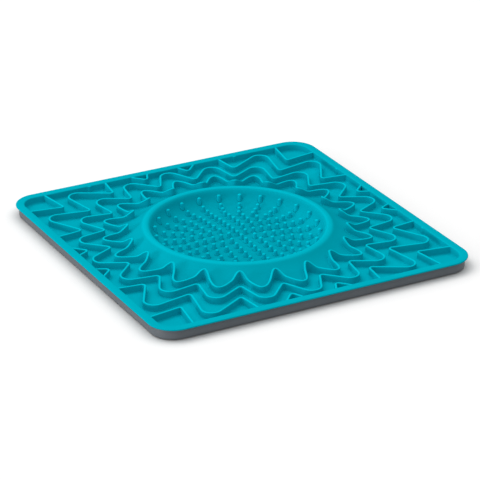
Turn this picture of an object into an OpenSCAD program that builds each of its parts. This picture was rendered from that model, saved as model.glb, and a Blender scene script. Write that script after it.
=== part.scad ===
// Square lick mat: a soft mat with a raised bowl and rings of wavy walls, laid in a low frame.
// Origin at the middle of the footprint on the table, +Z up, +X and +Y along the sides.
// Lengths are millimetres. The rings are laid out from the rim inwards, so the bowl ends up in the middle.

/* [Mat] */
// Side of the square mat, measured over its lip
mat_side = 254; // [220:1:300]
// Outer corner radius of the lip
lip_corner_r = 19; // [15:0.5:26]
// Thickness of the lip, whose edge is a half round
lip_t = 1.3; // [1:0.1:2.4]
// How far the lip stands out past the frame
lip_overhang = 2.2; // [1:0.1:4]
// Thickness of the upright wall inside the rim
mat_wall = 2; // [1.4:0.1:3]
// Depth of the mat's floor under the rim
floor_depth = 5.6; // [4.8:0.1:6]
// Thickness of the mat's floor
floor_t = 1.5; // [1.2:0.1:1.8]

/* [Walls on the mat] */
// Number of waves in each ring of walls
waves = 20; // [16:4:24]
// Thickness of the thin walls
ridge_t = 1.7; // [1.2:0.1:2.2]
// Height of the thin walls above the mat's floor
ridge_h = 5.3; // [4:0.1:5.6]
// How far the inner zigzag's outer corners would reach past the inside of the rim if they weren't rounded
zigzag_reach = 4.5; // [0:0.1:6]
// Depth of the inner zigzag's waves, between its sharp corners
inner_wave = 29.3; // [25:0.1:33]
// Depth of the outer zigzag's waves
outer_wave = 36.7; // [32:0.1:40]
// Depth of the corner walls' waves
corner_wave = 39.7; // [36:0.1:43]
// Distance from the inner zigzag to the outer one, at their inner corners
zigzag_pitch = 17.2; // [15:0.1:19]
// Distance from the outer zigzag to the corner walls, at their inner corners
corner_pitch = 21.6; // [19:0.1:24]
// Corner radius at the zigzags' inner corners, on the middle of the wall
inner_bend_r = 2.3; // [1.8:0.1:4]
// Corner radius at the corner walls' inner corners
sharp_bend_r = 1.6; // [1.3:0.1:3]
// Corner radius at the zigzags' outer corners, on the middle of the wall
outer_bend_r = 7.2; // [5:0.1:9]
// Distance from the scalloped wall's inner tips to the inner zigzag's inner corners
inner_channel = 15.4; // [13:0.1:18]
// Swing of the scalloped wall to each side of its mid radius
scallop_swing = 9.2; // [7:0.1:10]
// How much higher the scalloped wall's inner tips are, where they climb the bowl's skirt
tip_rise = 4; // [2.5:0.1:5]
// Length of the climb, measured inwards
climb_run = 7.2; // [5:0.1:9]

/* [Bowl] */
// Distance from the bowl's crest to the scalloped wall's inner tips
tip_to_crest = 12.3; // [10:0.1:15]
// Height of the crest above the rim
crest_rise = 4; // [3:0.1:5.5]
// Rounding of the crest towards the inside
crest_in_r = 5; // [3.5:0.1:6]
// Rounding of the crest towards the outside
crest_out_r = 10.5; // [8:0.5:14]
// Width of the bowl's curved wall, from its gutter to the crest
bowl_wall_w = 18.5; // [16:0.5:21]
// Width of the flat gutter between the bowl's wall and its low dome
gutter_w = 8.5; // [5:0.5:12]
// Height of the dome
dome_h = 2.2; // [0.5:0.1:3]
// Gap between the table and the bowl's underside at its gutter
bowl_gap = 0.3; // [0.2:0.1:1]
// Thickness of the bowl
bowl_t = 1.2; // [1:0.1:1.6]

/* [Pegs] */
// Distance from the crest to the outermost ring of pegs
peg_margin = 7.7; // [6.5:0.1:10]
// Rings of pegs that each have more pegs than the one inside them
growing_rings = 6; // [3:1:6]
// Pegs in the first ring, and how many each further one of these rings adds
added_pegs = 4; // [3:1:4]
// Rings of pegs outside them, with as many pegs as the last of them
even_rings = 3; // [1:1:4]
// Diameter of a peg at its foot
peg_foot_d = 2.9; // [2.5:0.1:3.2]
// Diameter of a peg under its round top
peg_top_d = 2.1; // [1.7:0.1:2.5]
// Height of a peg above the bowl at its middle
peg_h = 4.2; // [3:0.1:4.6]

/* [Frame] */
// Height of the frame, from its underside to the lip
frame_h = 7.7; // [7.2:0.1:8.5]
// Thickness of the frame's wall
frame_wall = 2; // [1.4:0.1:3]
// Width of the flange inside the frame's wall
flange_w = 20; // [14:0.5:24]
// Chamfer on the outer bottom edge of the frame
frame_chamfer = 0.9; // [0.3:0.1:1.4]
// Gap round the mat inside the frame
fit_gap = 0.3; // [0.2:0.05:0.6]
// Gap between the flange and the mat's floor
flange_gap = 0.2; // [0.1:0.05:0.4]

/* [Feet] */
// Diameter of a foot
foot_d = 12; // [8:0.5:13]
// How far a foot stands out under the frame
foot_proud = 0.6; // [0.4:0.1:1]
// Depth of a foot's recess in the flange
foot_recess = 0.8; // [0.4:0.1:0.9]
// Gap round a foot in its recess
foot_gap = 0.1; // [0.05:0.05:0.2]

/* [Hidden] */

mat_colour = [0, 0.69, 0.75];
frame_colour = [0.36, 0.39, 0.42];
foot_colour = [0.16, 0.17, 0.18];

// Overrun of every cut
over = 1;
// Steps on the zigzags' inner and outer bends, and on each round of the bowl's outline
bend_steps = 5;
loop_steps = 7;
round_steps = 10;
// Points on one wave of the scalloped wall, and how far they crowd to its turns, in degrees
scallop_steps = 16;
scallop_crowd_angle = 17;
// How far the corner walls stay from the middle of each side, as an angle about the bowl
corner_clear_angle = 30;
$fn = 96;

// Heights above the table
seat_z = foot_proud + frame_h;
rim_z = seat_z + lip_t;
floor_z = rim_z - floor_depth;
under_z = floor_z - floor_t;
crest_z = rim_z + crest_rise;
gutter_z = bowl_gap + bowl_t;
ridge_z = floor_z + ridge_h;

// Half sides
frame_half = mat_side / 2 - lip_overhang;
frame_in_half = frame_half - frame_wall;
tub_half = frame_in_half - fit_gap;
inner_half = tub_half - mat_wall;

// Corner radii, all about the same four centres
corner_mid = mat_side / 2 - lip_corner_r;
frame_corner_r = frame_half - corner_mid;
inner_corner_r = inner_half - corner_mid;

// Flange and feet
flange_t = under_z - flange_gap - foot_proud;
foot_mid = frame_in_half - flange_w / 2;

// Radii to the sharp inner corners of the zigzags
inner_zigzag_r = inner_half + zigzag_reach - inner_wave;
outer_zigzag_r = inner_zigzag_r + zigzag_pitch;
corner_zigzag_r = outer_zigzag_r + corner_pitch;

// Radii of the scalloped wall's tips and of its middle, and where its climb to the tips starts
tip_r = inner_zigzag_r - inner_channel;
scallop_r = tip_r + scallop_swing;
climb_start_r = tip_r + climb_run;

// Radii of the bowl: the skirt's foot, the crest, the gutter and the dome
skirt_foot_r = scallop_r + scallop_swing - ridge_t;
crest_r = tip_r - tip_to_crest;
gutter_out_r = crest_r - bowl_wall_w;
dome_r = gutter_out_r - gutter_w;

// Radii of the bowl's rounds, chosen so that each runs smoothly into the next
wall_rise = crest_z - gutter_z - crest_in_r;
wall_r = (pow(bowl_wall_w, 2) + pow(wall_rise, 2) - pow(crest_in_r, 2)) / (2 * (wall_rise + crest_in_r));
wall_angle = atan2(wall_rise - wall_r, bowl_wall_w);
skirt_run = skirt_foot_r - crest_r;
skirt_rise = crest_z - floor_z - crest_out_r;
skirt_r = (pow(skirt_run, 2) + pow(skirt_rise, 2) - pow(crest_out_r, 2)) / (2 * (skirt_rise + crest_out_r));
skirt_angle = atan2(skirt_r - skirt_rise, skirt_run);
dome_ball_r = (pow(dome_r, 2) + pow(dome_h, 2)) / (2 * dome_h);
dome_half_angle = asin(dome_r / dome_ball_r);

// Distance between the rings of pegs, and how much a peg's radius grows for each unit of length downwards
peg_pitch = (crest_r - peg_margin) / (growing_rings + even_rings);
peg_taper_share = (peg_foot_d - peg_top_d) / (2 * peg_h - peg_top_d);

// Points on an arc
function arc(mid, r, from, to, steps) =
    [for (i = [0:steps]) let (a = from + (to - from) * i / steps) mid + r * [cos(a), sin(a)]];

// Height of the bowl's inside at a radius
function bowl_top(r) =
    r <= dome_r ? gutter_z + dome_h - dome_ball_r + sqrt(pow(dome_ball_r, 2) - pow(r, 2))
    : r <= gutter_out_r ? gutter_z
    : gutter_z + wall_r - sqrt(pow(wall_r, 2) - pow(r - gutter_out_r, 2));

// One corner of a zigzag, rounded: the radius to the round's middle, the round's own radius,
// and half the angle that it turns through
function rounded_corner(r, other_r, bend_r, side, outward) =
    let (leg = [other_r * cos(180 / waves) - r, other_r * sin(180 / waves)],
         half = atan2(leg[1], abs(leg[0])),
         reach = bend_r / sin(half))
    [outward ? r - reach : r + reach, outward ? bend_r + side : bend_r - side, 90 - half];

// Closed outline of a zigzag, moved outwards from the middle of the wall by side
function zigzag(in_r, out_r, bend_r, side) =
    let (inner = rounded_corner(in_r, out_r, bend_r, side, false),
         outer = rounded_corner(out_r, in_r, outer_bend_r, side, true))
    [for (k = [0:waves - 1])
        let (at = k * 360 / waves,
             next = at + 180 / waves,
             back = next + 180)
        each concat(
            arc(outer[0] * [cos(at), sin(at)], outer[1], at - outer[2], at + outer[2], loop_steps),
            arc(inner[0] * [cos(next), sin(next)], inner[1], back + inner[2], back - inner[2], bend_steps))];

// Closed outline of the scalloped wall, moved outwards from its middle by side
function scallops(side) =
    [for (k = [0:waves - 1], i = [0:scallop_steps - 1])
        let (even = 360 * i / scallop_steps,
             phase = even - scallop_crowd_angle * sin(2 * even),
             a = (k * 360 + phase) / waves,
             r = scallop_r + scallop_swing * cos(phase),
             dr = -scallop_swing * waves * sin(phase),
             along = [dr * cos(a) - r * sin(a), dr * sin(a) + r * cos(a)])
        r * [cos(a), sin(a)] + side * [along[1], -along[0]] / norm(along)];

// Outline of the bowl's inside, or of its underside when lowered by t, from the middle to the crest
function inside_line(t) = concat(
    arc([0, gutter_z + dome_h - dome_ball_r], dome_ball_r - t, 90, 90 - dome_half_angle, round_steps),
    arc([gutter_out_r, gutter_z + wall_r], wall_r + t, -90, wall_angle, round_steps),
    arc([crest_r, crest_z - crest_in_r], crest_in_r - t, 180 + wall_angle, 90, round_steps));

// Outline of the skirt, or of its underside when lowered by t, from the crest outwards to an end angle
function skirt_line(t, end) = concat(
    arc([crest_r, crest_z - crest_out_r], crest_out_r - t, 90, skirt_angle, round_steps),
    arc([skirt_foot_r, floor_z + skirt_r], skirt_r + t, 180 + skirt_angle, end, round_steps));

function reversed(list) = [for (i = [len(list) - 1:-1:0]) list[i]];

module rounded_square(half, r) {
    square([2 * half, 2 * (half - r)], center = true);
    square([2 * (half - r), 2 * half], center = true);
    for (x = [-1, 1], y = [-1, 1])
        translate([x * (half - r), y * (half - r)]) circle(r);
}

module rounded_plate(half, r, from_z, to_z) {
    translate([0, 0, from_z]) linear_extrude(to_z - from_z) rounded_square(half, r);
}

// Carries an outline round the square: x is the distance from a corner's centre, y is the height
module round_the_square() {
    for (turn = [0:3]) rotate(turn * 90) {
        translate([corner_mid, corner_mid]) rotate_extrude(angle = 90) children();
        translate([-corner_mid, corner_mid]) rotate([90, 0, 90]) linear_extrude(2 * corner_mid) children();
    }
}

// Fills the inside of the scalloped wall, or less of it when moved inwards by t
module scalloped_plate(t, from_z, to_z) {
    translate([0, 0, from_z]) linear_extrude(to_z - from_z) polygon(scallops(-ridge_t / 2 - t));
}

// A thin wall on the floor between two closed outlines with the same number of points
module wall_between(outside, inside, h) {
    count = len(outside);
    first = [for (i = [0:count - 1]) i];
    second = [for (i = [0:count - 1]) count + i];
    translate([0, 0, floor_z]) linear_extrude(h) polygon(concat(outside, inside), [first, second]);
}

module zigzag_wall(in_r, wave, bend_r) {
    out_r = in_r + wave;
    outside = zigzag(in_r, out_r, bend_r, ridge_t / 2);
    inside = zigzag(in_r, out_r, bend_r, -ridge_t / 2);
    wall_between(outside, inside, ridge_h);
}

// The space over the mat's floor inside the rim
module tray_space() {
    rounded_plate(inner_half, inner_corner_r, floor_z - over, rim_z);
}

// Four strips from the middle out to the sides, which end at an angle to each side of it at the rim
module side_strips(half_angle) {
    half = inner_half * tan(half_angle);
    for (turn = [0, 90]) rotate(turn)
        translate([-inner_half - over, -half, floor_z - 2 * over])
            cube([2 * (inner_half + over), 2 * half, rim_z + over]);
}

// Grey frame: an upright wall under the lip, and a flange inside it that carries the feet
module base_frame() {
    color(frame_colour) difference() {
        union() {
            round_the_square() polygon([
                [frame_corner_r - frame_wall, foot_proud],
                [frame_corner_r - frame_chamfer, foot_proud],
                [frame_corner_r, foot_proud + frame_chamfer],
                [frame_corner_r, seat_z],
                [frame_corner_r - frame_wall, seat_z]]);
            difference() {
                rounded_plate(frame_in_half, frame_corner_r - frame_wall, foot_proud, foot_proud + flange_t);
                rounded_plate(frame_in_half - flange_w, frame_corner_r - frame_wall,
                    foot_proud - over, seat_z);
            }
        }
        for (x = [-1, 1], y = [-1, 1])
            translate([x * foot_mid, y * foot_mid, foot_proud - over])
                cylinder(d = foot_d + 2 * foot_gap, h = foot_recess + over);
    }
}

// Soft foot, seated in its recess under one corner of the flange
module foot(x, y) {
    color(foot_colour) translate([x * foot_mid, y * foot_mid, 0])
        cylinder(d = foot_d, h = foot_proud + foot_recess);
}

// Lip, upright wall and floor of the mat
module mat_tray() {
    color(mat_colour) union() {
        round_the_square() union() {
            translate([inner_corner_r, seat_z]) square([lip_corner_r - lip_t / 2 - inner_corner_r, lip_t]);
            translate([lip_corner_r - lip_t / 2, seat_z + lip_t / 2]) circle(d = lip_t);
            translate([inner_corner_r, under_z]) square([mat_wall, seat_z - under_z]);
        }
        difference() {
            rounded_plate(inner_half, inner_corner_r, under_z, floor_z);
            scalloped_plate(0, under_z - over, floor_z + over);
        }
    }
}

// Bowl from its dome and gutter up to the crest
module bowl() {
    color(mat_colour) rotate_extrude() polygon(concat(inside_line(0), reversed(inside_line(bowl_t))));
}

// Skirt that runs from the crest out to the scalloped wall, hollow below
module bowl_skirt() {
    hollow_end = 180 + acos((skirt_foot_r - scallop_r) / (skirt_r + bowl_t));
    far_r = scallop_r + scallop_swing;
    color(mat_colour) difference() {
        intersection() {
            rotate_extrude() polygon(concat(
                skirt_line(0, 270), [[far_r, floor_z], [far_r, under_z], [crest_r, under_z]]));
            scalloped_plate(0, under_z - over, crest_z + over);
        }
        intersection() {
            rotate_extrude() polygon(concat(
                [[crest_r - over, under_z - over], [crest_r - over, crest_z - bowl_t]],
                skirt_line(bowl_t, hollow_end), [[scallop_r, under_z - over]]));
            scalloped_plate(bowl_t, under_z - 2 * over, crest_z + over);
        }
    }
}

// A ring of tapered, round-topped pegs that start below the bowl's inside
module peg_ring(ring, count) {
    r = ring * peg_pitch;
    stem_top = bowl_top(r) + peg_h - peg_top_d / 2;
    stem_h = stem_top - gutter_z;
    for (i = [0:count - 1]) rotate(i * 360 / count) translate([r, 0]) {
        translate([0, 0, gutter_z])
            cylinder(d1 = peg_top_d + 2 * peg_taper_share * stem_h, d2 = peg_top_d, h = stem_h);
        translate([0, 0, stem_top]) sphere(d = peg_top_d);
    }
}

// What lies under the bowl's inside, on which the pegs end
module under_bowl() {
    rotate_extrude() polygon(concat(inside_line(0), [[crest_r, gutter_z - over], [0, gutter_z - over]]));
}

module inner_pegs() {
    color(mat_colour) difference() {
        for (ring = [1:growing_rings]) peg_ring(ring, ring * added_pegs);
        under_bowl();
    }
}

module outer_pegs() {
    color(mat_colour) difference() {
        for (ring = [1:even_rings]) peg_ring(growing_rings + ring, growing_rings * added_pegs);
        under_bowl();
    }
}

// Wall round the skirt, whose tips climb it
module scalloped_wall() {
    low_r = tip_r - ridge_t;
    far_r = scallop_r + scallop_swing + ridge_t;
    climb = [for (i = [0:round_steps]) let (share = i / round_steps)
        [climb_start_r - climb_run * share, ridge_z + tip_rise * pow(share, 2)]];
    color(mat_colour) intersection() {
        wall_between(scallops(ridge_t / 2), scallops(-ridge_t / 2), crest_z);
        rotate_extrude() polygon(concat(
            [[low_r, ridge_z + tip_rise], [low_r, floor_z - over],
                [far_r, floor_z - over], [far_r, ridge_z]],
            climb));
    }
}

module inner_zigzag_wall() {
    color(mat_colour) zigzag_wall(inner_zigzag_r, inner_wave, inner_bend_r);
}

// The second zigzag is cut by the rim. This is what is left of it round the corners of the mat
module outer_zigzag_wall() {
    color(mat_colour) difference() {
        intersection() {
            zigzag_wall(outer_zigzag_r, outer_wave, inner_bend_r);
            tray_space();
        }
        side_strips(360 / waves);
    }
}

// What is left of the second zigzag along the sides: two short pieces on each
module edge_walls() {
    color(mat_colour) intersection() {
        zigzag_wall(outer_zigzag_r, outer_wave, inner_bend_r);
        tray_space();
        side_strips(360 / waves);
    }
}

// The third zigzag shows only in the corners
module corner_walls() {
    color(mat_colour) difference() {
        intersection() {
            zigzag_wall(corner_zigzag_r, corner_wave, sharp_bend_r);
            tray_space();
        }
        side_strips(corner_clear_angle);
    }
}

base_frame();
foot(-1, -1);  // foot_front_left
foot(1, -1);  // foot_front_right
foot(-1, 1);  // foot_rear_left
foot(1, 1);  // foot_rear_right
mat_tray();
bowl();
bowl_skirt();
inner_pegs();
outer_pegs();
scalloped_wall();
inner_zigzag_wall();
outer_zigzag_wall();
edge_walls();
corner_walls();
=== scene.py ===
import math

import bmesh
import bpy
from mathutils import Matrix, Vector


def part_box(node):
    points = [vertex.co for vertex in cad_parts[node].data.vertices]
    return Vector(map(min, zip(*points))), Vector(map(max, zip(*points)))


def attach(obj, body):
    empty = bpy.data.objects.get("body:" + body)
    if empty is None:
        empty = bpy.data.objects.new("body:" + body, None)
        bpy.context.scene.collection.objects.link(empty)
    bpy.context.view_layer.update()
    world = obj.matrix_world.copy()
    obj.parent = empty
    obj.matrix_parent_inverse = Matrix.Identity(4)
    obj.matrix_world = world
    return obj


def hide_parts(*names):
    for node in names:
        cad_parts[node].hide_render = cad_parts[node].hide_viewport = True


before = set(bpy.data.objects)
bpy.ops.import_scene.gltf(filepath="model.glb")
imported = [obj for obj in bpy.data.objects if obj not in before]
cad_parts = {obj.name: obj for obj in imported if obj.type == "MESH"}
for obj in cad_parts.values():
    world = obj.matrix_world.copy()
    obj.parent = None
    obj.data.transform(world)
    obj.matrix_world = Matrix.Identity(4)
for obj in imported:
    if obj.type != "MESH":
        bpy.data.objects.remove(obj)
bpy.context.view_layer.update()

MM = 0.001

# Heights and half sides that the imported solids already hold
FLOOR_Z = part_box("inner_zigzag_wall")[0].z
WALL_TOP_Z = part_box("inner_zigzag_wall")[1].z
RIM_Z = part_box("mat_tray")[1].z
UNDER_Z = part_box("mat_tray")[0].z
MAT_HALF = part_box("mat_tray")[1].x
FRAME_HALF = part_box("base_frame")[1].x
FRAME_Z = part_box("base_frame")[0].z
SEAT_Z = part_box("base_frame")[1].z
CREST_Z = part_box("bowl")[1].z
BOWL_UNDER_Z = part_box("bowl")[0].z

# Mat: lip, rim and upright wall
LIP_CORNER_R = 19 * MM
LIP_T = RIM_Z - SEAT_Z
RIM_W = 6.5 * MM
TUB_STEP = 4.5 * MM
RIM_EDGE_R = 0.8 * MM
FLOOR_FILLET_R = 1.3 * MM

# Thin walls on the mat
WAVES = 20
WALL_T = 1.7 * MM
WALL_DRAFT = 0.18 * MM
WALL_FILLET_R = 0.7 * MM
WALL_EDGE_R = 0.45 * MM
SCALLOP_R = 89.5 * MM
SCALLOP_SWING = 9.2 * MM
# How strongly the scalloped wall's points crowd into its bends
SCALLOP_CROWD = 0.3
TIP_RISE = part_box("scalloped_wall")[1].z - WALL_TOP_Z
CLIMB_RUN = 7.2 * MM
# How much the climb to a tip is filled out
TIP_ROUND = 1.2
ZIGZAG_IN_R = 95.7 * MM
ZIGZAG_OUT_R = 125 * MM
ZIGZAG_PITCH = 17.2 * MM
ZIGZAG_OUT_PITCH = 24.6 * MM
# How far the corner walls' inner bends stand out from the zigzag's even pitch
CORNER_STEP = 4.4 * MM
INNER_BEND_R = 2.3 * MM
CORNER_BEND_R = 1.6 * MM
OUTER_BEND_R = 7.2 * MM

# Bowl
CREST_R = 67 * MM
CREST_IN_R = 4 * MM
CREST_OUT_R = 6 * MM
SKIRT_FOOT_R = 94.5 * MM
SKIRT_MID_R = 76 * MM
GUTTER_R = 49.5 * MM
BOWL_T = 1.2 * MM
DOME_R = 41 * MM
DOME_H = 2.2 * MM
GUTTER_Z = BOWL_UNDER_Z + BOWL_T
# Rings of points across each band of the bowl's top, from the middle outwards
DOME_STEPS = 12
GUTTER_STEPS = 3
BOWL_STEPS = 26
CREST_STEPS = 10
SKIRT_STEPS = 16

# Pegs
PEG_PITCH = 6.7 * MM
INNER_PEG_RINGS = 6
PEG_STEP = 4
OUTER_PEG_RINGS = 3
OUTER_PEGS = 24
PEG_TOP_R = 1.4 * MM
PEG_FOOT_R = 1.6 * MM
PEG_CAP_H = 0.85 * MM
PEG_H = 4.2 * MM
PEG_FLARE = 0.6 * MM
PEG_SIDES = 20
# How far out and how high each ring of the flared foot is, as shares of the flare
PEG_FLARE_CURVE = ((1, -0.05), (0.45, 0.15), (0.15, 0.45), (0, 1))
# Degrees up the round top at which its last ring stands
PEG_CAP_END = 78
# A face of the round top has the tips' painted highlight if it faces up more than this
PEG_CAP_HIGHLIGHT_FACING = 0.2
# The share of the flare's height that has the creases' painted shade
PEG_CREASE_SHADE_SHARE = 0.6

# Frame
FRAME_WALL = 2 * MM
FLANGE_W = 20 * MM
FRAME_ROUND_R = 1.1 * MM
FLANGE_GAP = 0.2 * MM
FRAME_EDGE = 0.3 * MM

# Steps round the mat, a whole number for each wave and each quarter
AROUND = WAVES * 48

# Steps on each rounded bend of a zigzag
BEND_STEPS = 14

# Degrees from which an edge between two faces is drawn sharp
SHARP_FROM = 50


# Lines in plan: every closed line is a distance from the middle, given for an angle

def square_r(angle, half, corner_r):
    """Distance from the middle to a square with round corners."""
    a = abs((angle + math.pi / 4) % (math.pi / 2) - math.pi / 4)
    straight = half / math.cos(a)
    if straight * math.sin(a) <= half - corner_r:
        return straight
    mid = (half - corner_r) * math.sqrt(2)
    off = math.pi / 4 - a
    return mid * math.cos(off) + math.sqrt(max(0.0, corner_r ** 2 - (mid * math.sin(off)) ** 2))


def scallop_r(angle):
    """Distance from the middle to the scalloped wall."""
    return SCALLOP_R + SCALLOP_SWING * math.cos(angle * WAVES)


def polar(r, angle, z):
    return Vector((r * math.cos(angle), r * math.sin(angle), z))


def arc(mid, r, start, end, steps):
    """Points on an arc, in degrees."""
    return [(mid[0] + r * math.cos(math.radians(start + (end - start) * i / steps)),
             mid[1] + r * math.sin(math.radians(start + (end - start) * i / steps)))
            for i in range(steps + 1)]


# Section of the bowl

WALL_RUN = CREST_R - GUTTER_R
WALL_RISE = CREST_Z - GUTTER_Z - CREST_IN_R
BOWL_WALL_R = (WALL_RUN ** 2 + WALL_RISE ** 2 - CREST_IN_R ** 2) / (2 * (WALL_RISE + CREST_IN_R))
SKIRT_RUN = SKIRT_FOOT_R - CREST_R
SKIRT_DROP = CREST_Z - FLOOR_Z - CREST_OUT_R
SKIRT_R = (SKIRT_RUN ** 2 + SKIRT_DROP ** 2 - CREST_OUT_R ** 2) / (2 * (SKIRT_DROP + CREST_OUT_R))
DOME_BALL_R = (DOME_R ** 2 + DOME_H ** 2) / (2 * DOME_H)


def bowl_z(r, lower=0.0):
    """Height of the bowl's top at a radius, or of its underside when lowered."""
    def on(mid_r, mid_z, ball_r, side):
        return mid_z + side * math.sqrt(max(0.0, ball_r ** 2 - (r - mid_r) ** 2))
    wall_angle = math.atan2(WALL_RISE - BOWL_WALL_R, WALL_RUN)
    skirt_angle = math.atan2(SKIRT_R - SKIRT_DROP, SKIRT_RUN)
    if r <= DOME_R:
        return on(0, GUTTER_Z + DOME_H - DOME_BALL_R, DOME_BALL_R - lower, 1)
    if r <= GUTTER_R:
        return GUTTER_Z - lower
    if r <= GUTTER_R + (BOWL_WALL_R + lower) * math.cos(wall_angle):
        return on(GUTTER_R, GUTTER_Z + BOWL_WALL_R, BOWL_WALL_R + lower, -1)
    if r <= CREST_R:
        return on(CREST_R, CREST_Z - CREST_IN_R, CREST_IN_R - lower, 1)
    if r <= CREST_R + (CREST_OUT_R - lower) * math.cos(skirt_angle):
        return on(CREST_R, CREST_Z - CREST_OUT_R, CREST_OUT_R - lower, 1)
    if r <= SKIRT_FOOT_R:
        return on(SKIRT_FOOT_R, FLOOR_Z + SKIRT_R, SKIRT_R + lower, -1)
    return FLOOR_Z - lower


# Meshes

def new_mesh(name, points, faces):
    mesh = bpy.data.meshes.new(name)
    mesh.from_pydata([tuple(p) for p in points], [], faces)
    mesh.validate()
    facing = bmesh.new()
    facing.from_mesh(mesh)
    if len(faces) > 1:
        bmesh.ops.recalc_face_normals(facing, faces=facing.faces)
    facing.to_mesh(mesh)
    facing.free()
    mesh.update()
    mesh.shade_smooth()
    mesh.set_sharp_from_angle(angle=math.radians(SHARP_FROM))
    obj = bpy.data.objects.new(name, mesh)
    bpy.context.scene.collection.objects.link(obj)
    return obj


def skin_of_rings(rings, pole_first=False, pole_last=False):
    """Points and faces of a skin through rings with the same number of points, with a pole at either end."""
    count = len(rings[1])
    points = []
    starts = []
    for ring in rings:
        starts.append(len(points))
        points.extend(ring)
    faces = []
    for k in range(len(rings) - 1):
        a = starts[k]
        b = starts[k + 1]
        for i in range(count):
            j = (i + 1) % count
            if k == 0 and pole_first:
                faces.append((a, b + i, b + j))
            elif k == len(rings) - 2 and pole_last:
                faces.append((a + i, b, a + j))
            else:
                faces.append((a + i, b + i, b + j, a + j))
    return points, faces


def ring_at(radius_of_angle, z_of_radius):
    """One ring of points, from a distance and a height that may both change along it."""
    out = []
    for i in range(AROUND):
        angle = math.tau * i / AROUND
        r = radius_of_angle(angle)
        out.append(polar(r, angle, z_of_radius(r)))
    return out


def square_ring(half, corner_r, z):
    return ring_at(lambda a: square_r(a, half, corner_r), lambda r: z)


def scallop_ring(move, z_of_radius):
    return ring_at(lambda a: scallop_r(a) + move, z_of_radius)


def close_rings(rings):
    """A closed solid whose section is a loop: the last ring joins the first."""
    points, faces = skin_of_rings(rings)
    count = len(rings[0])
    last = count * (len(rings) - 1)
    for i in range(count):
        j = (i + 1) % count
        faces.append((last + i, i, j, last + j))
    return points, faces


def square_profile(profile, corner_mid):
    """Rings round the square, from pairs of half side and height. Every corner has the same centre."""
    return [square_ring(half, half - corner_mid, z) for half, z in profile]


def build_tray():
    corner_mid = MAT_HALF - LIP_CORNER_R
    inner = MAT_HALF - RIM_W
    lip_mid = (MAT_HALF - LIP_T / 2, SEAT_Z + LIP_T / 2)
    tub = MAT_HALF - TUB_STEP
    profile = arc(lip_mid, LIP_T / 2, -90, 90, 10)
    profile += arc((inner + RIM_EDGE_R, RIM_Z - RIM_EDGE_R), RIM_EDGE_R, 90, 180, 6)
    profile += arc((inner - FLOOR_FILLET_R, FLOOR_Z + FLOOR_FILLET_R), FLOOR_FILLET_R, 0, -90, 6)
    rings = square_profile(profile, corner_mid)
    rings.append(scallop_ring(0.0, lambda r: FLOOR_Z))
    rings.append(scallop_ring(0.0, lambda r: UNDER_Z))
    tub_side = [(tub - RIM_EDGE_R, UNDER_Z), (tub, UNDER_Z + RIM_EDGE_R), (tub, SEAT_Z)]
    rings += square_profile(tub_side, corner_mid)
    points, faces = close_rings(rings)
    return new_mesh("silicone_tray", points, faces)


def build_bowl():
    """The bowl's shell, with half as many rings on its hidden underside as on its top."""
    inner_r = [DOME_R * i / DOME_STEPS for i in range(1, DOME_STEPS + 1)]
    inner_r += [DOME_R + (GUTTER_R - DOME_R) * i / GUTTER_STEPS for i in range(1, GUTTER_STEPS + 1)]
    inner_r += [GUTTER_R + WALL_RUN * math.sin(math.pi / 2 * i / BOWL_STEPS)
                for i in range(1, BOWL_STEPS + 1)]
    inner_r += [CREST_R + (SKIRT_MID_R - CREST_R) * i / CREST_STEPS for i in range(1, CREST_STEPS + 1)]

    def between(step, move, lower):
        last = inner_r[-1]
        share = step / SKIRT_STEPS
        return ring_at(lambda a: last + (scallop_r(a) - move - last) * share, lambda r: bowl_z(r, lower))

    rings = [[Vector((0, 0, bowl_z(0)))]]
    rings += [ring_at(lambda a, r=r: r, bowl_z) for r in inner_r]
    rings += [between(i, 0.0, 0.0) for i in range(1, SKIRT_STEPS + 1)]
    rings.append(scallop_ring(0.0, lambda r: UNDER_Z))
    rings.append(scallop_ring(-BOWL_T, lambda r: UNDER_Z))
    rings += [between(i, BOWL_T, BOWL_T) for i in range(SKIRT_STEPS, 0, -2)]
    rings += [ring_at(lambda a, r=r: r, lambda r: bowl_z(r, BOWL_T)) for r in reversed(inner_r[1::2])]
    rings.append([Vector((0, 0, bowl_z(0, BOWL_T)))])
    points, faces = skin_of_rings(rings, pole_first=True, pole_last=True)
    return new_mesh("silicone_bowl", points, faces)


def wall_section(base_out, base_in, top):
    """Section of a thin wall, from its outer foot over its round top to its inner foot."""
    top_half = (WALL_T - WALL_DRAFT) / 2
    flat = top_half - WALL_EDGE_R
    foot_half = (WALL_T + WALL_DRAFT) / 2

    def side(base, sign):
        return [(sign * (foot_half + WALL_FILLET_R - x), base + WALL_FILLET_R - y)
                for x, y in arc((0, 0), WALL_FILLET_R, 90, 0, 4)]

    out = side(base_out, 1)
    out += arc((flat, top - WALL_EDGE_R), WALL_EDGE_R, 0, 90, 5)
    out += arc((-flat, top - WALL_EDGE_R), WALL_EDGE_R, 90, 180, 5)
    out += list(reversed(side(base_in, -1)))
    return out


def sweep_wall(path, closed, section_at):
    """A thin wall along a path in plan. section_at(point, normal) gives pairs of side step and height."""
    count = len(path)
    rings = []
    for i, p in enumerate(path):
        before = path[(i - 1) % count] if closed or i else p
        after = path[(i + 1) % count] if closed or i < count - 1 else p
        along = (after - before).normalized()
        normal = Vector((along.y, -along.x))
        rings.append([Vector((p.x + normal.x * s, p.y + normal.y * s, z)) for s, z in section_at(p, normal)])
    if closed:
        rings.append(rings[0])
    width = len(rings[0])
    points, faces = skin_of_rings(rings)
    if closed:
        points = points[:-width]
        faces = [tuple(v % len(points) for v in f) for f in faces]
    else:
        faces.append(tuple(range(width - 1, -1, -1)))
        faces.append(tuple(range(len(points) - width, len(points))))
    return points, faces


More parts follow.
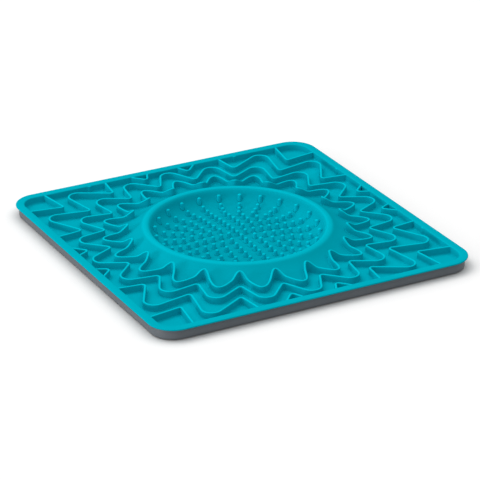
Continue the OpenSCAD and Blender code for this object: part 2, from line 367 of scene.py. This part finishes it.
def join_parts(name, parts):
    points = []
    faces = []
    for part_points, part_faces in parts:
        start = len(points)
        points.extend(part_points)
        faces.extend(tuple(v + start for v in f) for f in part_faces)
    return new_mesh(name, points, faces)


def bend(p, q, s, r, steps):
    """Rounds the corner at q between p and s with an arc of radius r."""
    a = (p - q).normalized()
    b = (s - q).normalized()
    half = a.angle(b) / 2
    mid = q + (a + b).normalized() * r / math.sin(half)
    start = q + a * r / math.tan(half)
    end = q + b * r / math.tan(half)
    a0 = math.atan2(start.y - mid.y, start.x - mid.x)
    turn = (math.atan2(end.y - mid.y, end.x - mid.x) - a0 + math.pi) % math.tau - math.pi
    out = []
    for i in range(steps + 1):
        at = a0 + turn * i / steps
        out.append(Vector((mid.x + r * math.cos(at), mid.y + r * math.sin(at))))
    return out


def zigzag(in_r, out_r, in_bend):
    """A closed zigzag with broad bends outside and tighter ones inside."""
    corners = []
    for k in range(WAVES):
        at = math.tau * k / WAVES
        corners.append((polar(out_r, at, 0).xy, OUTER_BEND_R))
        corners.append((polar(in_r, at + math.pi / WAVES, 0).xy, in_bend))
    out = []
    for i, (q, r) in enumerate(corners):
        out += bend(corners[i - 1][0], q, corners[(i + 1) % len(corners)][0], r, BEND_STEPS)
    return out


def flat_section(p, normal):
    return wall_section(FLOOR_Z, FLOOR_Z, WALL_TOP_Z)


def build_inner_zigzag():
    path = zigzag(ZIGZAG_IN_R, ZIGZAG_OUT_R, INNER_BEND_R)
    return join_parts("silicone_inner_zigzag", [sweep_wall(path, True, flat_section)])


def cut_by_rim(path):
    """The stretches of a zigzag inside the rim, run on a little into the rim's wall.

    A bend that only just gets past the rim leaves a short stub at the rim's wall. The corner walls' zigzag
    has eight of these.
    """
    limit = MAT_HALF - RIM_W + WALL_T / 2
    corner_r = LIP_CORNER_R - RIM_W + WALL_T / 2

    def room(p):
        return square_r(math.atan2(p.y, p.x), limit, corner_r) - p.length

    runs = []
    run = []
    count = len(path)
    first = next(i for i in range(count) if room(path[i]) < 0)
    for k in range(1, count + 1):
        p = path[(first + k) % count]
        q = path[(first + k - 1) % count]
        if (room(p) < 0) != (room(q) < 0):
            share = room(q) / (room(q) - room(p))
            crossing = q.lerp(p, share)
            run.append(crossing)
            if room(p) < 0:
                runs.append(run)
                run = []
        if room(p) >= 0:
            run.append(p)
    return runs


def build_cut_zigzag(name, rings_out, extra, in_bend):
    """A zigzag that many pitches further out, cut by the rim. extra moves its inner bends out."""
    path = zigzag(ZIGZAG_IN_R + rings_out * ZIGZAG_PITCH + extra,
                  ZIGZAG_OUT_R + rings_out * ZIGZAG_OUT_PITCH, in_bend)
    return join_parts(name, [sweep_wall(run, False, flat_section) for run in cut_by_rim(path)])


def build_scalloped_wall():
    count = AROUND
    angles = []
    for i in range(count):
        phase = math.tau * (i % (count // WAVES)) / (count // WAVES)
        wave = i // (count // WAVES)
        angles.append((wave * math.tau + phase - SCALLOP_CROWD * math.sin(2 * phase)) / WAVES)
    path = [polar(scallop_r(a), a, 0).xy for a in angles]
    tip_r = SCALLOP_R - SCALLOP_SWING
    start_r = tip_r + CLIMB_RUN

    def section(p, normal):
        share = min(1.0, max(0.0, (start_r - p.length) / CLIMB_RUN))
        top = WALL_TOP_Z + TIP_RISE * share ** 2 * (1 + TIP_ROUND * (1 - share))
        inner_foot = p - normal * (WALL_T / 2)
        return wall_section(FLOOR_Z, bowl_z(inner_foot.length), top)

    return join_parts("silicone_scalloped_wall", [sweep_wall(path, True, section)])


def peg(x, y):
    """A tapered peg with a round top, whose flared foot follows the bowl's surface."""
    foot = bowl_z(math.hypot(x, y))
    top = foot + PEG_H

    def ring(r, z_at):
        out = []
        for i in range(PEG_SIDES):
            px = x + r * math.cos(math.tau * i / PEG_SIDES)
            py = y + r * math.sin(math.tau * i / PEG_SIDES)
            out.append(Vector((px, py, z_at(math.hypot(px, py)))))
        return out

    rings = [ring(PEG_FOOT_R + flare * PEG_FLARE, lambda r, rise=rise: bowl_z(r) + rise * PEG_FLARE)
             for flare, rise in PEG_FLARE_CURVE]
    rings += [ring(r * PEG_TOP_R, lambda _, rise=rise: top - PEG_CAP_H * (1 - rise))
              for r, rise in arc((0, 0), 1, 0, PEG_CAP_END, 5)]
    rings.append([Vector((x, y, top))])
    points, faces = skin_of_rings(rings, pole_last=True)
    faces.append(tuple(range(PEG_SIDES - 1, -1, -1)))
    return points, faces


def build_pegs(name, rings):
    """Pegs in rings, each given by its number from the middle and its count."""
    parts = []
    for ring, count in rings:
        for i in range(count):
            a = math.tau * i / count
            parts.append(peg(ring * PEG_PITCH * math.cos(a), ring * PEG_PITCH * math.sin(a)))
    return join_parts(name, parts)


def build_frame():
    corner_mid = MAT_HALF - LIP_CORNER_R
    out = FRAME_HALF
    inside = out - FRAME_WALL
    flange_top = UNDER_Z - FLANGE_GAP
    hole = inside - FLANGE_W
    edge = FRAME_EDGE
    profile = arc((out - FRAME_ROUND_R, FRAME_Z + FRAME_ROUND_R), FRAME_ROUND_R, -90, 0, 8)
    profile += [(out, SEAT_Z - edge), (out - edge, SEAT_Z), (inside + edge, SEAT_Z), (inside, SEAT_Z - edge)]
    profile += [(inside, flange_top)]
    rings = square_profile(profile, corner_mid)
    hole_r = inside - corner_mid
    rings += [square_ring(hole + edge, hole_r, flange_top), square_ring(hole, hole_r, flange_top - edge),
              square_ring(hole, hole_r, FRAME_Z + edge), square_ring(hole + edge, hole_r, FRAME_Z)]
    points, faces = close_rings(rings)
    return new_mesh("frame_shell", points, faces)


# Materials

# Stretch of the noise over which the two close colours, and the roughness, change
PATCH_LOW = 0.35
PATCH_HIGH = 0.65
GRAIN_LOW = 0.3
GRAIN_HIGH = 0.7
GRAIN_DEPTH = 0.05 * MM
ROUGHNESS_SPREAD = 0.05

# Painted highlight on raised parts: the depth of the band below the top, the height over which it fades in,
# and the facing
WALL_HIGHLIGHT_BAND = 0.9 * MM
CREST_HIGHLIGHT_BAND = 1.4 * MM
HIGHLIGHT_FADE = 0.4 * MM
WALL_HIGHLIGHT_FACING = (0.05, 0.5)
CREST_HIGHLIGHT_FACING = (0.82, 0.95)


def srgb(r, g, b):
    def linear(v):
        v /= 255
        return v / 12.92 if v <= 0.04045 else ((v + 0.055) / 1.055) ** 2.4
    return (linear(r), linear(g), linear(b), 1.0)


def surface(name, low, high, roughness, patch, grain, bump, specular=0.5, top_highlight=None):
    """Moulded material: two close colours in soft patches, and a fine grain in the bump and the roughness.

    The last argument, when given, paints a highlight on raised parts: a lighter colour, the height where it
    starts, and the pair of how far a surface must face up to have none and all of it.
    """
    mat = bpy.data.materials.new(name)
    mat.use_nodes = True
    nodes = mat.node_tree.nodes
    links = mat.node_tree.links
    bsdf = nodes["Principled BSDF"]
    bsdf.inputs["Specular IOR Level"].default_value = specular
    place = nodes.new("ShaderNodeTexCoord")

    def noise(scale, detail):
        n = nodes.new("ShaderNodeTexNoise")
        n.inputs["Scale"].default_value = scale
        n.inputs["Detail"].default_value = detail
        links.new(place.outputs["Object"], n.inputs["Vector"])
        return n

    broad = noise(patch, 3)
    ramp = nodes.new("ShaderNodeValToRGB")
    ramp.color_ramp.elements[0].position = PATCH_LOW
    ramp.color_ramp.elements[0].color = low
    ramp.color_ramp.elements[1].position = PATCH_HIGH
    ramp.color_ramp.elements[1].color = high
    links.new(broad.outputs["Fac"], ramp.inputs["Fac"])
    colour = ramp.outputs["Color"]

    def share(source, low_at, high_at):
        split = nodes.new("ShaderNodeSeparateXYZ")
        links.new(source, split.inputs[0])
        span = nodes.new("ShaderNodeMapRange")
        span.inputs["From Min"].default_value = low_at
        span.inputs["From Max"].default_value = high_at
        links.new(split.outputs["Z"], span.inputs["Value"])
        return span.outputs["Result"]

    # Painted highlight: the lighter colour on faces that stand high and face up
    if top_highlight:
        light, start_z, (up_none, up_all) = top_highlight
        highlight_mask = nodes.new("ShaderNodeMath")
        highlight_mask.operation = "MULTIPLY"
        links.new(share(place.outputs["Object"], start_z, start_z + HIGHLIGHT_FADE), highlight_mask.inputs[0])
        links.new(share(place.outputs["Normal"], up_none, up_all), highlight_mask.inputs[1])
        mix = nodes.new("ShaderNodeMix")
        mix.data_type = "RGBA"
        mix.inputs["B"].default_value = light
        links.new(highlight_mask.outputs[0], mix.inputs["Factor"])
        links.new(colour, mix.inputs["A"])
        colour = mix.outputs["Result"]
    links.new(colour, bsdf.inputs["Base Color"])
    fine = noise(grain, 4)
    rough = nodes.new("ShaderNodeMapRange")
    rough.inputs["From Min"].default_value = GRAIN_LOW
    rough.inputs["From Max"].default_value = GRAIN_HIGH
    rough.inputs["To Min"].default_value = roughness - ROUGHNESS_SPREAD
    rough.inputs["To Max"].default_value = roughness + ROUGHNESS_SPREAD
    links.new(fine.outputs["Fac"], rough.inputs["Value"])
    links.new(rough.outputs["Result"], bsdf.inputs["Roughness"])
    relief = nodes.new("ShaderNodeBump")
    relief.inputs["Strength"].default_value = bump
    relief.inputs["Distance"].default_value = GRAIN_DEPTH
    links.new(fine.outputs["Fac"], relief.inputs["Height"])
    links.new(relief.outputs["Normal"], bsdf.inputs["Normal"])
    return mat


def teal(name, low, high, top_highlight=None):
    """Matt silicone: the mat's own teal, and lighter and darker copies of it that paint light and shade."""
    return surface(name, srgb(*low), srgb(*high), roughness=0.5, patch=30, grain=2500, bump=0.25,
                   specular=0.0, top_highlight=top_highlight)


silicone = teal("teal_silicone", (0, 170, 188), (0, 174, 192))
# The walls' lighter band along their top is a painted highlight.
wall_silicone_with_highlight = teal("teal_silicone_walls_painted_highlight", (0, 168, 186), (0, 172, 190),
                     (srgb(0, 189, 208), WALL_TOP_Z - WALL_HIGHLIGHT_BAND, WALL_HIGHLIGHT_FACING))
# The bowl's teal is darker than the tray's as painted shade, and the lighter band along its crest is a
# painted highlight.
bowl_shaded_silicone_with_highlight = teal("teal_silicone_bowl_painted_shade_and_highlight", (0, 160, 178), (0, 164, 182),
                     (srgb(0, 178, 197), CREST_Z - CREST_HIGHLIGHT_BAND, CREST_HIGHLIGHT_FACING))
# The pegs' teal is lighter than the tray's as painted light.
peg_lit_silicone = teal("teal_silicone_pegs_painted_light", (0, 184, 203), (0, 188, 207))
# The creases round the pegs' feet are darker as painted shade.
crease_shade_silicone = teal("teal_silicone_creases_painted_shade", (0, 138, 155), (0, 142, 159))
# The pegs' round tips are lighter still, as a painted highlight.
tip_highlight_silicone = teal("teal_silicone_tips_painted_highlight", (0, 188, 207), (0, 192, 211))
frame_plastic = surface("grey_plastic", srgb(98, 104, 110), srgb(102, 108, 114),
                        roughness=0.55, patch=40, grain=3000, bump=0.4)
foot_rubber = surface("foot_rubber", srgb(48, 50, 52), srgb(54, 56, 58),
                      roughness=0.7, patch=60, grain=2500, bump=0.4)


def paint_peg_light_and_shade(pegs):
    """Paints a highlight on the pegs' round top faces with the lighter material, and shade in the creases
    round their feet with the darker one.
    """
    pegs.data.materials.append(tip_highlight_silicone)
    pegs.data.materials.append(crease_shade_silicone)
    for face in pegs.data.polygons:
        height = face.center.z - bowl_z(face.center.xy.length)
        if face.normal.z > PEG_CAP_HIGHLIGHT_FACING and height > PEG_H - PEG_CAP_H:
            face.material_index = 1
        elif height < PEG_CREASE_SHADE_SHARE * PEG_FLARE:
            face.material_index = 2


def dress(obj, material, slot, body, *nodes):
    obj.data.materials.clear()
    obj.data.materials.append(material)
    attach(obj, body)
    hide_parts(*nodes)


dress(build_tray(), silicone, "silicone", "mat", "mat_tray")
dress(build_bowl(), bowl_shaded_silicone_with_highlight, "silicone", "mat", "bowl", "bowl_skirt")
inner_rings = [(0, 1)] + [(k, k * PEG_STEP) for k in range(1, INNER_PEG_RINGS + 1)]
outer_rings = [(INNER_PEG_RINGS + k, OUTER_PEGS) for k in range(1, OUTER_PEG_RINGS + 1)]
dress(build_pegs("silicone_inner_pegs", inner_rings), peg_lit_silicone, "silicone", "mat", "inner_pegs")
dress(build_pegs("silicone_outer_pegs", outer_rings), peg_lit_silicone, "silicone", "mat", "outer_pegs")
for name in ("silicone_inner_pegs", "silicone_outer_pegs"):
    paint_peg_light_and_shade(bpy.data.objects[name])
dress(build_scalloped_wall(), wall_silicone_with_highlight, "silicone", "mat", "scalloped_wall")
dress(build_inner_zigzag(), wall_silicone_with_highlight, "silicone", "mat", "inner_zigzag_wall")
dress(build_cut_zigzag("silicone_outer_zigzag", 1, 0.0, INNER_BEND_R),
      wall_silicone_with_highlight, "silicone", "mat", "outer_zigzag_wall", "edge_walls")
dress(build_cut_zigzag("silicone_corner_walls", 2, CORNER_STEP, CORNER_BEND_R),
      wall_silicone_with_highlight, "silicone", "mat", "corner_walls")
dress(build_frame(), frame_plastic, "frame_plastic", "base", "base_frame")
for corner in ("front_left", "front_right", "rear_left", "rear_right"):
    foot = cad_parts["foot_" + corner]
    foot.data.materials.clear()
    foot.data.materials.append(foot_rubber)


# Camera

CAMERA_AZIMUTH = 28.5
CAMERA_ELEVATION = 24.78
CAMERA_ROLL = 0.186
CAMERA_STEP = Vector((-1.96 * MM, -8.47 * MM, 1884.2 * MM))
FOCAL_PX = 2576.1
FRAME_PX = 480
SENSOR_MM = 36
NEAREST = 0.05
FARTHEST = 50


def set_camera():
    az = math.radians(CAMERA_AZIMUTH)
    el = math.radians(CAMERA_ELEVATION)
    back = Vector((-math.sin(az) * math.cos(el), -math.cos(az) * math.cos(el), math.sin(el)))
    look = -back
    right = look.cross(Vector((0, 0, 1))).normalized()
    down = look.cross(right).normalized()
    turn = Matrix.Rotation(math.radians(CAMERA_ROLL), 3, "Z")
    axes = turn @ Matrix((right, down, look))
    place = -(axes.transposed() @ CAMERA_STEP) + Vector((0, 0, WALL_TOP_Z))
    data = bpy.data.cameras.new("camera")
    data.sensor_width = SENSOR_MM
    data.lens = FOCAL_PX * SENSOR_MM / FRAME_PX
    data.clip_start = NEAREST
    data.clip_end = FARTHEST
    camera = bpy.data.objects.new("camera", data)
    bpy.context.scene.collection.objects.link(camera)
    facing = Matrix((axes[0], -axes[1], -axes[2])).transposed()
    camera.matrix_world = Matrix.Translation(place) @ facing.to_4x4()
    bpy.context.scene.camera = camera


# Floor, lights and world

FLOOR_SIDE = 12
FLOOR_GREY = 0.5
FLOOR_WHITE = 1.0
FLOOR_GLOW = 0.03
# Painted shade on the white floor: how much darker its colour is where it is fully hidden, and how near to
# the object that starts
FLOOR_SHADE = 0.5
FLOOR_SHADE_REACH = 30 * MM
FLOOR_SHADE_SAMPLES = 8
WORLD_LIGHT = 0.43


def seen_ray(nodes, links):
    """1 for what the camera sees, straight or in a glossy or clear surface, 0 for light on the object."""
    path = nodes.new("ShaderNodeLightPath")
    first = nodes.new("ShaderNodeMath")
    first.operation = "ADD"
    both = nodes.new("ShaderNodeMath")
    both.operation = "ADD"
    both.use_clamp = True
    links.new(path.outputs["Is Camera Ray"], first.inputs[0])
    links.new(path.outputs["Is Glossy Ray"], first.inputs[1])
    links.new(first.outputs[0], both.inputs[0])
    links.new(path.outputs["Is Transmission Ray"], both.inputs[1])
    return both.outputs[0]


def set_floor():
    half = FLOOR_SIDE / 2
    corners = [(-half, -half, 0), (half, -half, 0), (half, half, 0), (-half, half, 0)]
    floor = new_mesh("floor", corners, [(0, 1, 2, 3)])
    mat = bpy.data.materials.new("floor")
    mat.use_nodes = True
    nodes = mat.node_tree.nodes
    links = mat.node_tree.links
    nodes.clear()
    out = nodes.new("ShaderNodeOutputMaterial")
    pick = nodes.new("ShaderNodeMixShader")
    grey = nodes.new("ShaderNodeBsdfDiffuse")
    grey.inputs["Color"].default_value = (FLOOR_GREY, FLOOR_GREY, FLOOR_GREY, 1)
    white = nodes.new("ShaderNodeBsdfDiffuse")
    # Painted shade: the seen floor's white darkens near the object, by ambient occlusion
    close = nodes.new("ShaderNodeAmbientOcclusion")
    close.samples = FLOOR_SHADE_SAMPLES
    close.inputs["Distance"].default_value = FLOOR_SHADE_REACH
    shade = nodes.new("ShaderNodeMapRange")
    shade.inputs["To Min"].default_value = FLOOR_WHITE - FLOOR_SHADE
    shade.inputs["To Max"].default_value = FLOOR_WHITE
    links.new(close.outputs["AO"], shade.inputs["Value"])
    links.new(shade.outputs["Result"], white.inputs["Color"])
    links.new(seen_ray(nodes, links), pick.inputs["Fac"])
    links.new(grey.outputs[0], pick.inputs[1])
    glow = nodes.new("ShaderNodeEmission")
    glow.inputs["Strength"].default_value = FLOOR_GLOW
    bright = nodes.new("ShaderNodeAddShader")
    links.new(white.outputs[0], bright.inputs[0])
    links.new(glow.outputs[0], bright.inputs[1])
    links.new(bright.outputs[0], pick.inputs[2])
    links.new(pick.outputs[0], out.inputs["Surface"])
    floor.data.materials.append(mat)


def set_world():
    world = bpy.data.worlds.new("studio")
    world.use_nodes = True
    bpy.context.scene.world = world
    nodes = world.node_tree.nodes
    links = world.node_tree.links
    nodes.clear()
    out = nodes.new("ShaderNodeOutputWorld")
    pick = nodes.new("ShaderNodeMixShader")
    soft = nodes.new("ShaderNodeBackground")
    soft.inputs["Color"].default_value = (1, 1, 1, 1)
    soft.inputs["Strength"].default_value = WORLD_LIGHT
    white = nodes.new("ShaderNodeBackground")
    white.inputs["Color"].default_value = (1, 1, 1, 1)
    white.inputs["Strength"].default_value = 1
    links.new(seen_ray(nodes, links), pick.inputs["Fac"])
    links.new(soft.outputs[0], pick.inputs[1])
    links.new(white.outputs[0], pick.inputs[2])
    links.new(pick.outputs[0], out.inputs["Surface"])


def area_light(name, azimuth, elevation, distance, size, power):
    data = bpy.data.lights.new(name, "AREA")
    data.shape = "SQUARE"
    data.size = size
    data.energy = power
    light = bpy.data.objects.new(name, data)
    bpy.context.scene.collection.objects.link(light)
    az = math.radians(azimuth)
    el = math.radians(elevation)
    away = Vector((math.sin(az) * math.cos(el), -math.cos(az) * math.cos(el), math.sin(el)))
    facing = away.to_track_quat("Z", "Y").to_matrix().to_4x4()
    light.matrix_world = Matrix.Translation(away * distance) @ facing


set_camera()
set_floor()
set_world()
area_light("top_softbox", azimuth=0, elevation=90, distance=3.0, size=4.0, power=51)
area_light("left_softbox", azimuth=-118, elevation=58, distance=3.0, size=2.0, power=24)
area_light("low_left_softbox", azimuth=-90, elevation=9, distance=3.0, size=0.9, power=28)

bpy.context.scene.view_settings.view_transform = "Standard"
